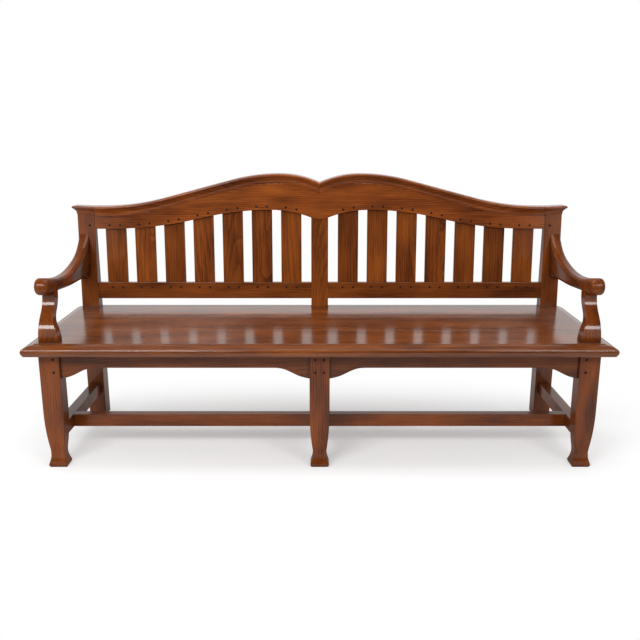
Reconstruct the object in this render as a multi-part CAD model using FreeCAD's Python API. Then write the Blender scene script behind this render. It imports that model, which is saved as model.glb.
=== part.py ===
import FreeCAD, Part
import math
import os

# Deacons bench in polished hardwood, in millimetres.
# X runs along the bench, Y from the front (minus) to the back (plus), Z up from the floor.
# Depths are first measured back from the line of the seat's nose; export() then centres them.
# Left and right are those of a person who looks at the front of the bench.
# The back frame (crest, capping, slats, lower rails) is drawn upright and then raked back.

V = FreeCAD.Vector

# Seat
seat_length = 1958.0
seat_depth = 601.0
seat_height = 450.0
seat_thickness = 37.5
front_board_width = 208.0
middle_board_width = 196.0
nose_run = 35.0
nose_quirk = 1.6
nose_drop = 21.0
nose_belly = 2.0
nose_round = 9.0
nose_round_depth = 3.0
nose_lower_round = 4.5
end_overhang = 39.0
tongue_thickness = 9.0
tongue_width = 24.0
tongue_end_stop = 70.0

# Front legs
leg_width = 68.0
leg_depth = 59.0
leg_setback = 50.0
knee_height = 203.0
ankle_height = 60.0
ankle_inset = 10.0
instep_hollow = 3.0
pad_height = 12.0
pad_inset = 2.6
sole_inset = 1.8
foot_arris = 3.0
arris = 2.0

# Back posts, placed by how far they stand in the seat's back edge
post_width = 66.0
post_in_seat = 45.0
post_seat_depth = 53.0
seat_rest = 11.0
back_rake = 4.0

# Crest rail, heights above the seat or above the shoulder
shoulder_rise = 395.5
shoulder_flat = 29.0
hump_above_shoulder = 124.5
hump_offset = 155.0
hump_radius = 375.0
sweep_straight = 268.0
sweep_share = 0.57
crest_thickness = 27.0
crest_end_depth = 49.5
crest_hump_depth = 101.0
lower_flat = 64.0
arch_offset = 190.0
arch_share = 0.56
pendant_drop = 37.0
pendant_share = 0.85
crest_tenon_length = 40.0

# Moulded capping and capitals
cap_height = 36.0
cap_overhang = 16.0
cap_nose_height = 12.0
cap_nose_round = 4.0
cap_quirk = 2.0
cap_fillet = 1.2
cap_fillet_height = 5.0
cove_depth = 2.4
cap_parting = 2.0
capital_height = 31.0
capital_tilt = 2.5
stub_size = 18.0
stub_height = 14.0

# Lower rails and slats
rail_above_seat = 36.0
rail_height = 64.0
rail_thickness = 26.0
rail_setback = 4.0
slats_per_bay = 7
slat_gap = 34.8
slat_end_extra = 3.4
slat_thickness = 12.0
slat_setback = 9.5
slat_head_depth = 24.0
slat_foot_depth = 32.0
middle_post_setback = 3.0
middle_tenon_length = 34.0

# Seat frame
apron_height = 54.5
apron_thickness = 22.0
apron_setback = 13.0
bracket_run = 122.0
bracket_drop = 38.0
# Lower edge of a bracket, (share of the run, share of the drop), from the leg to the flat.
bracket_curve = ((0.17, 0.88), (0.30, 0.74), (0.46, 0.49), (0.61, 0.25), (0.76, 0.08), (0.88, 0.015))
tenon_thickness = 9.0
tenon_length = 28.0
tenon_shoulder = 8.0
tenon_parting = 4.0

# Stretchers
stretcher_top = 139.0
side_stretcher_width = 39.5
side_stretcher_height = 47.0
side_stretcher_inset = 12.0
long_stretcher_behind_leg = 86.6
long_stretcher_width = 35.4
long_stretcher_height = 45.5
long_tenon_length = 24.0

# Arms and arm posts
arm_outer_inset = 1.0
arm_front_width = 47.0
arm_foot_width = 31.0
arm_head_width = 43.0
knuckle_radius = 28.5
knuckle_setback = 60.0
knuckle_rise = 181.5
knuckle_leave = 72.0
arm_round = 13.0
arm_foot_rise = 116.5
arm_head_rise = 288.5
arm_tenon_length = 26.0
arm_tenon_height = 80.0
# Points of the arm's side view, (distance, height above the knuckle's centre):
# "front" ones are measured back from the knuckle, "back" ones forward from the post.
arm_scoop_front = ((62.0, 17.0), (100.0, 10.0))
arm_scoop_back = ((271.0, 3.0), (210.0, 6.0), (148.0, 16.0), (86.0, 32.0), (36.0, 55.0), (4.0, 81.0))
arm_under_front = (103.0, -34.0)
arm_under_back = ((51.0, -55.5), (110.0, -51.0), (216.0, -47.0))
arm_post_outer_inset = 6.5
arm_post_base_width = 66.5
arm_post_neck_width = 41.5
arm_post_flare_height = 95.0
arm_post_depth = 36.0
arm_post_lean = 72.0
arm_post_straight = 25.0
arm_post_share = 0.57
arm_post_tenon_length = 22.0
arm_post_tenon_size = 20.0

# Pegs, screws and glue blocks
peg_radius = 4.6
peg_length = 24.0
peg_proud = 0.8
peg_side_distance = 20.0
slat_peg_inset = 19.2
upper_peg_rise = 13.0
lower_peg_drop = 20.0
leg_peg_length = 36.0
leg_peg_drops = (22.5, 67.5)
post_peg_rise = 13.0
screw_head_radius = 4.6
screw_head_height = 3.5
screw_shank_radius = 2.2
arm_screw_depth = 6.0
arm_screw_length = 44.0
arm_screw_turn = 30.0
arm_screw_forward = 22.0
arm_screw_rise = 15.0
arm_pocket_radius = 12.0
block_size = 28.0
block_length = 70.0
block_shares = (0.25, 0.75)
block_screw_length = 44.0

# Fits
glue_gap = 0.1
mortise_end_gap = 1.0
peg_gap = 0.05
overlap = 5.0

half_length = seat_length / 2
frame_half = half_length - end_overhang
leg_inner = frame_half - leg_width
leg_centre = frame_half - leg_width / 2
leg_back = leg_setback + leg_depth
middle_leg_half = leg_width / 2
seat_underside = seat_height - seat_thickness
apron_bottom = seat_underside - apron_height

post_inner = frame_half - post_width
post_half = post_width / 2
post_front = seat_depth - post_in_seat
post_back = post_front + post_seat_depth
back_leg_front = post_front - seat_rest
rake_slope = math.tan(math.radians(back_rake))

shoulder_height = seat_height + shoulder_rise
hump_height = shoulder_height + hump_above_shoulder
crest_shoulder = shoulder_height - cap_height
crest_end_bottom = crest_shoulder - crest_end_depth
arch_height = hump_height - cap_height - crest_hump_depth
pendant_bottom = arch_height - pendant_drop
rail_bottom = seat_height + rail_above_seat
rail_top = rail_bottom + rail_height
knuckle_height = seat_height + knuckle_rise

bay = post_inner - post_half
slat_width = (bay - 2 * slat_end_extra - (slats_per_bay + 1) * slat_gap) / slats_per_bay
slat_peg_spacing = slat_width - 2 * slat_peg_inset


def post_front_at(height):
    return post_front + (height - seat_height) * rake_slope


capital_bottom = shoulder_height - capital_height
level_rise = (crest_thickness + 2 * cap_overhang) * rake_slope
rake_angle = math.radians(back_rake)
hump_nose = hump_height - cap_nose_height / 2 + level_rise - seat_height
hump_back = (post_front + (crest_thickness + cap_overhang) * math.cos(rake_angle)
             + hump_nose * math.sin(rake_angle))
overall_depth = max(post_back + cap_overhang, hump_back)


# Shape helpers
def box(x_low, x_high, y_low, y_high, z_low, z_high, gap=0.0):
    corner = V(x_low - gap, y_low - gap, z_low - gap)
    return Part.makeBox(x_high - x_low + 2 * gap, y_high - y_low + 2 * gap, z_high - z_low + 2 * gap, corner)


def outline(points, place):
    """Closed face; one point in a list bends the next run to an arc, several make it a spline."""
    edges = []
    start = points[0]
    bends = []
    for item in points[1:] + [points[0]]:
        if isinstance(item, list):
            bends = item
            continue
        if not bends:
            edges.append(Part.makeLine(place(start), place(item)))
        elif len(bends) == 1:
            edges.append(Part.Arc(place(start), place(bends[0]), place(item)).toShape())
        else:
            curve = Part.BSplineCurve()
            curve.interpolate([place(point) for point in [start] + bends + [item]])
            edges.append(curve.toShape())
        start = item
        bends = []
    return Part.Face(Part.Wire(edges))


def along_x(points, x_low, x_high):
    face = outline(points, lambda point: V(x_low, point[0], point[1]))
    return face.extrude(V(x_high - x_low, 0, 0))


def along_y(points, y_low, y_high):
    face = outline(points, lambda point: V(point[0], y_low, point[1]))
    return face.extrude(V(0, y_high - y_low, 0))


def along_z(points, z_low, z_high):
    face = outline(points, lambda point: V(point[0], point[1], z_low))
    return face.extrude(V(0, 0, z_high - z_low))


def changed(items, change):
    """The same outline items with each point put through change."""
    return [[change(point) for point in item] if isinstance(item, list) else change(item)
            for item in items]


def mirrored(shape):
    return shape.mirror(V(0, 0, 0), V(1, 0, 0))


def both_sides(shapes):
    return shapes + [mirrored(shape) for shape in shapes]


def raked(shape):
    tilted = shape.copy()
    tilted.rotate(V(0, post_front, seat_height), V(1, 0, 0), -back_rake)
    return tilted


def joined(shapes):
    return shapes[0].multiFuse(shapes[1:]).removeSplitter()


def softened(shape, radius, wanted):
    return shape.makeFillet(radius, [edge for edge in shape.Edges if wanted(edge.BoundBox)])


def upright(bounds):
    return bounds.ZLength > 60


def lengthwise(bounds):
    return bounds.XLength > 60 and bounds.ZLength < 1


# S curves: two arcs that leave and arrive level, with a straight run between them
def ogee_arcs(start, end, straight, share):
    run = abs(end[0] - start[0])
    rise = abs(end[1] - start[1])
    turn = 2 * math.atan2(rise, run + straight)
    radii = (run - straight * math.cos(turn)) / math.sin(turn)
    return turn, share * radii, (1 - share) * radii


def ogee(start, end, straight, share, drop=0.0):
    """Outline items after the start; drop moves the curve down, square to itself."""
    turn, first_radius, last_radius = ogee_arcs(start, end, straight, share)
    ahead = math.copysign(1, end[0] - start[0])
    climb = math.copysign(1, end[1] - start[1])

    def first(angle):
        radius = first_radius + climb * drop
        return (start[0] + ahead * radius * math.sin(angle),
                start[1] + climb * (first_radius - radius * math.cos(angle)))

    def last(angle):
        radius = last_radius - climb * drop
        return (end[0] - ahead * radius * math.sin(angle),
                end[1] - climb * (last_radius - radius * math.cos(angle)))

    items = [[first(turn / 2)], first(turn)]
    if straight > 0:
        items.append(last(turn))
    return items + [[last(turn / 2)], last(0)]


def ogee_height(x, start, end, straight, share):
    turn, first_radius, last_radius = ogee_arcs(start, end, straight, share)
    climb = math.copysign(1, end[1] - start[1])
    gone = abs(x - start[0])
    left = abs(end[0] - x)
    if gone <= first_radius * math.sin(turn):
        return start[1] + climb * (first_radius - math.sqrt(first_radius ** 2 - gone ** 2))
    if left <= last_radius * math.sin(turn):
        return end[1] - climb * (last_radius - math.sqrt(last_radius ** 2 - left ** 2))
    knee = start[1] + climb * first_radius * (1 - math.cos(turn))
    return knee + climb * (gone - first_radius * math.sin(turn)) * math.tan(turn)


# Crest lines, right half
sweep_start = (post_inner - shoulder_flat, shoulder_height)
sweep_end = (hump_offset, hump_height)
arch_start = (post_inner - lower_flat, crest_end_bottom)
arch_end = (arch_offset, arch_height)
pendant_end = (0.0, pendant_bottom)
notch_turn = math.asin((hump_offset + overlap) / (hump_radius - cap_height - glue_gap))


def hump_point(angle, drop):
    radius = hump_radius - drop
    return (hump_offset - radius * math.sin(angle), hump_height - hump_radius + radius * math.cos(angle))


def crest_top_line(drop):
    items = [(post_inner, shoulder_height - drop), (sweep_start[0], shoulder_height - drop)]
    items += ogee(sweep_start, sweep_end, sweep_straight, sweep_share, drop)
    return items + [[hump_point(notch_turn / 2, drop)], hump_point(notch_turn, drop)]


def crest_lower_line():
    items = [arch_start]
    items += ogee(arch_start, arch_end, 0.0, arch_share)
    return items + ogee(arch_end, pendant_end, 0.0, pendant_share)


def crest_lower_height(x):
    distance = abs(x)
    if distance >= arch_start[0]:
        return crest_end_bottom
    if distance >= arch_offset:
        return ogee_height(distance, arch_start, arch_end, 0.0, arch_share)
    return ogee_height(distance, arch_end, pendant_end, 0.0, pendant_share)


# Seat
def nose_waste():
    """Waste outside the thumb moulding, as distance inward and height."""
    top = seat_height + overlap
    below = seat_underside - overlap
    shoulder = seat_height - nose_quirk
    nose = seat_height - nose_drop
    nose_top = nose + nose_round
    nose_bottom = nose - nose_round
    belly = ((nose_run + nose_round_depth) / 2, (shoulder + nose_top) / 2 + nose_belly)
    foot = nose_round_depth + nose_lower_round
    heel = (nose_round_depth + nose_lower_round * 0.3, (nose_bottom + seat_underside) / 2)
    return [(nose_run, top), (nose_run, shoulder), [belly], (nose_round_depth, nose_top), [(0.0, nose)],
            (nose_round_depth, nose_bottom), [heel], (foot, seat_underside), (foot, below),
            (-overlap, below), (-overlap, top)]


def seat_slab():
    slab = box(-half_length, half_length, 0, seat_depth, seat_underside, seat_height)
    reach = half_length + overlap
    front = along_x(nose_waste(), -reach, reach)
    end_line = changed(nose_waste(), lambda point: (half_length - point[0], point[1]))
    end = along_y(end_line, -overlap, seat_depth + overlap)
    return slab.cut([front, end, mirrored(end)])


def post_notches():
    notches = []
    for centre in (post_half - frame_half, 0.0, frame_half - post_half):
        notch = box(centre - post_half, centre + post_half, post_front, post_back + post_width,
                    seat_underside - seat_thickness, seat_height + seat_thickness, glue_gap)
        notches.append(raked(notch))
    return notches


def seat_tongue(seam, gap):
    middle = (seat_underside + seat_height) / 2
    end = half_length - tongue_end_stop
    return box(-end, end, seam - tongue_width / 2, seam + tongue_width / 2,
               middle - tongue_thickness / 2, middle + tongue_thickness / 2, gap)


def seat_parts(mortises):
    seams = (front_board_width, front_board_width + middle_board_width)
    grooves = [seat_tongue(seam, glue_gap) for seam in seams]
    slab = seat_slab().cut(grooves + post_notches() + mortises)
    edges = (-overlap,) + seams + (seat_depth + overlap,)
    reach = half_length + overlap
    parts = {}
    for index, place in enumerate(("front", "middle", "back")):
        span = box(-reach, reach, edges[index], edges[index + 1],
                   seat_underside - overlap, seat_height + overlap)
        parts["seat_" + place + "_board"] = slab.common(span)
    parts["seat_tongues"] = Part.makeCompound([seat_tongue(seam, 0.0) for seam in seams])
    return parts


# Front legs
def leg_outline(centre, half):
    """Both sides of a leg, straight to the knee, drawn in to the ankle, out to the pad."""
    def at(inset, height):
        return (half - inset, height)

    fall = knee_height - ankle_height
    calf_radius = (fall ** 2 + ankle_inset ** 2) / (2 * ankle_inset)
    turn = math.asin(fall / calf_radius) / 2
    calf = at(calf_radius * (1 - math.cos(turn)), knee_height - calf_radius * math.sin(turn))
    instep = at((ankle_inset + pad_inset) / 2 + instep_hollow, (ankle_height + pad_height) / 2)
    side = [at(0, seat_underside), at(0, knee_height), [calf], at(ankle_inset, ankle_height),
            [instep], at(pad_inset, pad_height), at(sole_inset, 2 * foot_arris),
            at(sole_inset + foot_arris, 0)]
    right = changed(side, lambda point: (centre + point[0], point[1]))
    left = changed(side[::-1], lambda point: (centre - point[0], point[1]))
    return right + left


def leg(centre):
    reach = leg_width / 2 + overlap
    middle = leg_setback + leg_depth / 2
    blank = along_y(leg_outline(centre, leg_width / 2), leg_setback - overlap, leg_back + overlap)
    sides = along_x(leg_outline(middle, leg_depth / 2), centre - reach, centre + reach)
    blank = blank.common(sides)
    corners = [edge for edge in blank.Edges if edge.BoundBox.ZLength > foot_arris]
    return blank.makeChamfer(arris, corners)


# Back posts
def post_profile(top, front_offset):
    return [(back_leg_front, foot_arris), (back_leg_front, seat_underside),
            (post_front_at(seat_underside) + front_offset, seat_underside),
            (post_front_at(top) + front_offset, top), (post_back, top), (post_back, foot_arris),
            (post_back - foot_arris, 0), (back_leg_front + foot_arris, 0)]


def tilted(shape):
    """A shape of the right capital, turned so that its outer end stands a little higher."""
    turned = shape.copy()
    turned.rotate(V(post_inner, 0, capital_bottom), V(0, 1, 0), -capital_tilt)
    return turned


def end_post():
    post = along_x(post_profile(shoulder_height, 0.0), post_inner, frame_half)
    waste = box(post_inner - overlap, frame_half + overlap, post_front, post_back + overlap,
                capital_bottom, hump_height)
    return joined([softened(post, arris, upright).cut(tilted(waste)), cap_stub(0.0)])


def pendant_waste():
    """All above the crest's lower edge, which shapes the middle post's shoulders."""
    right = crest_lower_line()
    left = changed(right[::-1], lambda point: (-point[0], point[1]))[1:]
    top = hump_height + cap_height
    return right + left + [(-arch_start[0], top), (arch_start[0], top)]


def middle_post_tenon(gap):
    centre = post_front + crest_thickness / 2
    reach = post_half - tenon_shoulder
    end_gap = mortise_end_gap if gap else 0.0
    return box(-reach, reach, centre - tenon_thickness / 2, centre + tenon_thickness / 2,
               pendant_bottom - middle_tenon_length, pendant_bottom + middle_tenon_length + end_gap, gap)


def middle_post():
    post = along_x(post_profile(hump_height, middle_post_setback), -post_half, post_half)
    waste = along_y(pendant_waste(), post_front - post_width, post_back + post_width)
    post = softened(post, arris, upright).cut(raked(waste))
    return joined([post, raked(middle_post_tenon(0.0))])


# Crest rail, capping and capitals
def crest_half():
    low = crest_end_bottom - overlap
    back = post_front + crest_thickness
    drop = cap_height + glue_gap
    line = [(post_inner, low)] + crest_top_line(drop) + [(hump_point(notch_turn, drop)[0], low)]
    blank = along_y(line, post_front, back)
    blank = blank.common(box(0, post_inner, post_front, back, low, hump_height))
    under = [(post_inner + overlap, low - overlap), (post_inner + overlap, crest_end_bottom)]
    under += crest_lower_line() + [(-overlap, pendant_bottom), (-overlap, low - overlap)]
    return blank.cut(along_y(under, post_front - overlap, back + overlap))


def crest_tenon(gap):
    centre = post_front + crest_thickness / 2
    end_gap = mortise_end_gap if gap else 0.0
    return box(post_inner - overlap, post_inner + crest_tenon_length + end_gap,
               centre - tenon_thickness / 2, centre + tenon_thickness / 2,
               crest_end_bottom + overlap, crest_shoulder - overlap, gap)


def crest_rail():
    half = joined([crest_half(), crest_tenon(0.0)])
    return joined([half, mirrored(half)])


def cap_section(x, front, back, height, back_rise):
    """Section of the capping over wood from front to back; back_rise lifts its back nose."""
    def side(sign, face, rise):
        def at(out, down):
            return (face + sign * out, shoulder_height - down)

        nose = cap_nose_height * height / cap_height
        nose_root = cap_overhang - cap_nose_round
        cove_top = at(nose_root - cap_quirk, nose + cap_quirk - rise)
        cove_end = at(cap_fillet, height - cap_fillet_height)
        cove = ((cove_top[0] + cove_end[0]) / 2 - sign * cove_depth / 2,
                (cove_top[1] + cove_end[1]) / 2 + cove_depth / 2)
        return [at(nose_root, -rise), [at(cap_overhang, nose / 2 - rise)],
                at(nose_root, nose - rise), at(nose_root - cap_quirk, nose - rise),
                cove_top, [cove], cove_end, at(cap_fillet, height)]

    points = side(-1, front, 0.0) + side(1, back, back_rise)[::-1]
    return outline(points, lambda point: V(x, point[0], point[1]))


def crest_cap():
    """Capping of the right hump: level, up the sweep, over the hump and down to the notch."""
    turn, first_radius, last_radius = ogee_arcs(sweep_start, sweep_end, sweep_straight, sweep_share)
    degrees = math.degrees(turn)
    across = V(0, 1, 0)
    section = cap_section(post_inner, post_front, post_front + crest_thickness, cap_height, level_rise)
    runs = [section.extrude(V(-shoulder_flat, 0, 0))]
    section.translate(V(-shoulder_flat, 0, 0))
    centre = V(sweep_start[0], 0, shoulder_height + first_radius)
    runs.append(section.revolve(centre, across, degrees))
    section.rotate(centre, across, degrees)
    slope = V(-math.cos(turn), 0, math.sin(turn)) * sweep_straight
    runs.append(section.extrude(slope))
    section.translate(slope)
    centre = V(hump_offset, 0, hump_height - last_radius)
    runs.append(section.revolve(centre, across, -degrees))
    section.rotate(centre, across, -degrees)
    centre = V(hump_offset, 0, hump_height - hump_radius)
    runs.append(section.revolve(centre, across, -math.degrees(notch_turn)))
    room = box(0, post_inner - cap_parting, post_front - post_width, post_back + post_width,
               crest_end_bottom, hump_height + overlap)
    return joined(runs).common(room)


def post_cap():
    """Capital: the capping's section on the front, the outer side and the back of the post."""
    front = post_front_at(capital_bottom)
    far = post_width + cap_overhang + overlap
    run = cap_section(post_inner, front, post_back, capital_height, 0.0).extrude(V(far, 0, 0))
    side = cap_section(0.0, 0.0, post_width, capital_height, 0.0)
    side.rotate(V(0, 0, 0), V(0, 0, 1), -90)
    side.translate(V(post_inner, post_back + far, 0))
    side = side.extrude(V(0, -2 * far - post_seat_depth, 0))
    return tilted(run.common(side))


def cap_stub(gap):
    """Stub tenon on the top of the post, under its capital."""
    middle = (post_front_at(capital_bottom) + post_back) / 2
    centre = frame_half - post_half
    half = stub_size / 2
    end_gap = mortise_end_gap if gap else 0.0
    return box(centre - half, centre + half, middle - half, middle + half,
               capital_bottom - overlap, capital_bottom + stub_height + end_gap, gap)


# Lower rails and slats
def rail_tenons(gap):
    centre = post_front + rail_setback + rail_thickness / 2
    reach = tenon_length + (mortise_end_gap if gap else 0.0)
    return [box(low, high, centre - tenon_thickness / 2, centre + tenon_thickness / 2,
                rail_bottom + tenon_shoulder, rail_top - tenon_shoulder, gap)
            for low, high in ((post_half - reach, post_half + overlap),
                              (post_inner - overlap, post_inner + reach))]


def lower_rail():
    rail = box(post_half, post_inner, post_front + rail_setback,
               post_front + rail_setback + rail_thickness, rail_bottom, rail_top)
    return joined([softened(rail, arris, lengthwise)] + rail_tenons(0.0))


def slat_centres():
    """Centres of the right bay's slats, from the middle outward."""
    first = post_half + slat_end_extra + slat_gap + slat_width / 2
    return [first + index * (slat_width + slat_gap) for index in range(slats_per_bay)]


def slat(centre, gap):
    low_x = centre - slat_width / 2
    high_x = centre + slat_width / 2
    edge = max(crest_lower_height(low_x), crest_lower_height(high_x), crest_lower_height(centre))
    end_gap = mortise_end_gap if gap else 0.0
    front = post_front + slat_setback
    board = box(low_x, high_x, front, front + slat_thickness,
                rail_top - slat_foot_depth - end_gap, edge + slat_head_depth + end_gap, gap)
    return board if gap else softened(board, arris / 2, upright)


def peg(x, height, front, length, gap=0.0):
    """Peg with a softened end that stands a little proud; with a gap, the hole for it."""
    body = Part.makeCylinder(peg_radius + gap, length + gap, V(x, front - peg_proud, height), V(0, 1, 0))
    if gap:
        return body
    return softened(body, peg_proud / 2, lambda bounds: bounds.YMax < front and bounds.YLength < 0.1)


def slat_pegs(centres, height_of, front, gap):
    return [peg(centre + side * slat_peg_spacing / 2, height_of(centre + side * slat_peg_spacing / 2),
                front, peg_length, gap) for centre in centres for side in (-1, 1)]


def upper_pegs(centres, gap):
    return slat_pegs(centres, lambda x: crest_lower_height(x) + upper_peg_rise, post_front, gap)


def lower_pegs(centres, gap):
    return slat_pegs(centres, lambda x: rail_top - lower_peg_drop, post_front + rail_setback, gap)


def post_peg(gap):
    return peg(post_inner + peg_side_distance, crest_end_bottom + post_peg_rise, post_front,
               peg_length, gap)


# Seat frame
def tenon_x(x_low, x_high, centre, z_low, z_high, gap):
    half = tenon_thickness / 2
    return box(x_low, x_high, centre - half, centre + half, z_low, z_high, gap)


def tenon_y(centre, y_low, y_high, z_low, z_high, gap):
    half = tenon_thickness / 2
    return box(centre - half, centre + half, y_low, y_high, z_low, z_high, gap)


def bracket(face, toward):
    """Lower edge of a bracket, from the leg's face toward the middle of the bay."""
    def at(run, drop):
        return (face + toward * bracket_run * run, apron_bottom - bracket_drop * drop)

    return at(0, 1), [at(run, drop) for run, drop in bracket_curve], at(1, 0)


apron_front = leg_setback + apron_setback
apron_centre = apron_front + apron_thickness / 2
back_apron_front = back_leg_front + tenon_length + tenon_parting
back_apron_centre = back_apron_front + apron_thickness / 2
side_apron_centre = frame_half - apron_setback - apron_thickness / 2


def bay_tenons(inner, outer, centre, z_low, z_high, gap):
    reach = tenon_length + (mortise_end_gap if gap else 0.0)
    return [tenon_x(inner - reach, inner + overlap, centre, z_low, z_high, gap),
            tenon_x(outer - overlap, outer + reach, centre, z_low, z_high, gap)]


def front_apron_tenons(gap):
    low = apron_bottom - bracket_drop + tenon_shoulder
    return bay_tenons(middle_leg_half, leg_inner, apron_centre, low, seat_underside - tenon_shoulder, gap)


def back_apron_tenons(gap):
    low = apron_bottom + tenon_shoulder
    return bay_tenons(post_half, post_inner, back_apron_centre, low, seat_underside - tenon_shoulder, gap)


def front_apron():
    near_leg, near_curve, near_flat = bracket(middle_leg_half, 1)
    far_leg, far_curve, far_flat = bracket(leg_inner, -1)
    line = [(middle_leg_half, seat_underside), near_leg, near_curve, near_flat,
            far_flat, far_curve[::-1], far_leg, (leg_inner, seat_underside)]
    board = along_y(line, apron_front, apron_front + apron_thickness)
    return joined([board] + front_apron_tenons(0.0))


def back_apron():
    board = box(post_half, post_inner, back_apron_front, back_apron_front + apron_thickness,
                apron_bottom, seat_underside)
    return joined([board] + back_apron_tenons(0.0))


def cross_tenons(centre, front, z_low, z_high, gap):
    """Tenons of a rail that runs from a front leg to a back post."""
    reach = tenon_length + (mortise_end_gap if gap else 0.0)
    return [tenon_y(centre, front - reach, front + overlap, z_low, z_high, gap),
            tenon_y(centre, back_leg_front - overlap, back_leg_front + reach, z_low, z_high, gap)]


def cross_rail_tenons(centre, gap):
    return cross_tenons(centre, leg_back, apron_bottom + tenon_shoulder,
                        seat_underside - tenon_shoulder, gap)


def cross_rail(centre):
    half = apron_thickness / 2
    rail = box(centre - half, centre + half, leg_back, back_leg_front, apron_bottom, seat_underside)
    return joined([rail] + cross_rail_tenons(centre, 0.0))


# Stretchers
side_stretcher_outer = frame_half - side_stretcher_inset
side_stretcher_centre = side_stretcher_outer - side_stretcher_width / 2
side_stretcher_inner = side_stretcher_outer - side_stretcher_width
side_stretcher_bottom = stretcher_top - side_stretcher_height
long_front = leg_back + long_stretcher_behind_leg
long_back = long_front + long_stretcher_width
long_bottom = stretcher_top - long_stretcher_height
halving = stretcher_top - side_stretcher_height / 2


def cross_stretcher_tenons(centre, gap):
    return cross_tenons(centre, leg_back, side_stretcher_bottom + tenon_shoulder,
                        stretcher_top - tenon_shoulder, gap)


def cross_stretcher(centre, front_leg):
    """Stretcher with its front shoulder scribed to the tapered leg."""
    half = side_stretcher_width / 2
    rail = box(centre - half, centre + half, leg_setback + leg_depth / 2, back_leg_front,
               side_stretcher_bottom, stretcher_top)
    rail = softened(rail, arris, lambda bounds: bounds.YLength > 60).cut(front_leg)
    return joined([rail] + cross_stretcher_tenons(centre, 0.0))


def long_tenon(gap):
    end_gap = mortise_end_gap if gap else 0.0
    return tenon_x(side_stretcher_inner - overlap, side_stretcher_inner + long_tenon_length + end_gap,
                   (long_front + long_back) / 2, side_stretcher_bottom + tenon_shoulder,
                   stretcher_top - tenon_shoulder, gap)


def long_stretcher():
    half = side_stretcher_width / 2
    rail = box(-side_stretcher_inner, side_stretcher_inner, long_front, long_back,
               long_bottom, stretcher_top)
    rail = softened(rail, arris, lengthwise)
    lap = box(-half - glue_gap, half + glue_gap, long_front - overlap, long_back + overlap,
              long_bottom - overlap, halving)
    return joined([rail] + both_sides([long_tenon(0.0)])).cut(lap)


def middle_stretcher_lap():
    half = side_stretcher_width / 2 + overlap
    return box(-half, half, long_front - glue_gap, long_back + glue_gap, halving,
               stretcher_top + overlap)


# Arms
arm_outer = frame_half - arm_outer_inset
knuckle_centre = knuckle_setback + knuckle_radius
arm_foot_height = seat_height + arm_foot_rise
arm_head_height = seat_height + arm_head_rise
arm_post_outer = frame_half - arm_post_outer_inset
arm_post_centre = arm_post_outer - arm_post_neck_width / 2
arm_under_height = knuckle_height - knuckle_radius


def arm_profile():
    """Side view: underside from the post to the knuckle, round it, and the scooped top."""
    level = knuckle_height
    foot = (post_front_at(arm_foot_height), arm_foot_height)
    head = (post_front_at(arm_head_height), arm_head_height)
    under = [(post_front - run, level + rise) for run, rise in arm_under_back]
    under.append((knuckle_centre + arm_under_front[0], level + arm_under_front[1]))
    knuckle_bottom = (knuckle_centre, level - knuckle_radius)
    knuckle_nose = (knuckle_setback, level)
    leave = math.radians(knuckle_leave)
    knuckle_top = (knuckle_centre + knuckle_radius * math.cos(leave),
                   level + knuckle_radius * math.sin(leave))
    scoop = [(knuckle_centre + run, level + rise) for run, rise in arm_scoop_front]
    scoop += [(post_front - run, level + rise) for run, rise in arm_scoop_back]
    return [foot, under, knuckle_bottom, [knuckle_nose], knuckle_top, scoop, head]


def arm_width_at(height):
    """Width of the arm's end on the post, wider upward."""
    share = (height - arm_foot_height) / (arm_head_height - arm_foot_height)
    return arm_foot_width + share * (arm_head_width - arm_foot_width)


def arm_plan():
    """Block of the arm's width: even at the knuckle, then running to the slanted end on the post."""
    low = seat_height
    high = hump_height

    def section(y, low_width, high_width):
        inner = arm_outer - low_width
        upper = arm_outer - high_width
        return Part.makePolygon([V(inner, y, low), V(arm_outer, y, low), V(arm_outer, y, high),
                                 V(upper, y, high), V(inner, y, low)])

    start = knuckle_centre + knuckle_radius
    back = post_front_at(arm_head_height) + overlap
    front = box(arm_outer - arm_front_width, arm_outer, 0, start, low, high)
    taper = Part.makeLoft([section(start, arm_front_width, arm_front_width),
                           section(back, arm_width_at(low), arm_width_at(high))], True, True)
    return front.fuse(taper)


def arm_body():
    blank = along_x(arm_profile(), arm_outer - 2 * arm_front_width, arm_outer)
    blank = blank.common(arm_plan())
    joint = post_front_at(arm_foot_height) - 1

    def side_edge(bounds):
        return bounds.YMin < joint and bounds.YLength > 5
    return softened(blank, arm_round, side_edge)


def arm_tenon(gap):
    reach = arm_tenon_length + (mortise_end_gap if gap else 0.0)
    middle = (arm_foot_height + arm_head_height) / 2
    centre = arm_outer - arm_foot_width / 2
    back = post_front_at(middle) + reach
    return tenon_y(centre, back - arm_tenon_length - 2 * overlap, back,
                   middle - arm_tenon_height / 2, middle + arm_tenon_height / 2, gap)


# Arm posts
def arm_post_body():
    foot = (seat_height, leg_setback)
    neck = (arm_under_height, leg_setback + arm_post_lean)
    lean = [foot] + ogee(foot, neck, arm_post_straight, arm_post_share)
    top = arm_under_height + knuckle_radius
    front = changed(lean, lambda point: (point[1], point[0])) + [(neck[1], top)]
    back = changed(front[::-1], lambda point: (point[0] + arm_post_depth, point[1]))
    side = along_x(front + back, arm_post_outer - arm_post_base_width, arm_post_outer)
    base = (seat_height, arm_post_outer - arm_post_base_width)
    slim = (seat_height + arm_post_flare_height, arm_post_outer - arm_post_neck_width)
    flare = changed([base] + ogee(base, slim, 0.0, 0.5), lambda point: (point[1], point[0]))
    face = flare + [(slim[1], top), (arm_post_outer, top), (arm_post_outer, seat_height)]
    return side.common(along_y(face, leg_setback, neck[1] + arm_post_depth))


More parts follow.
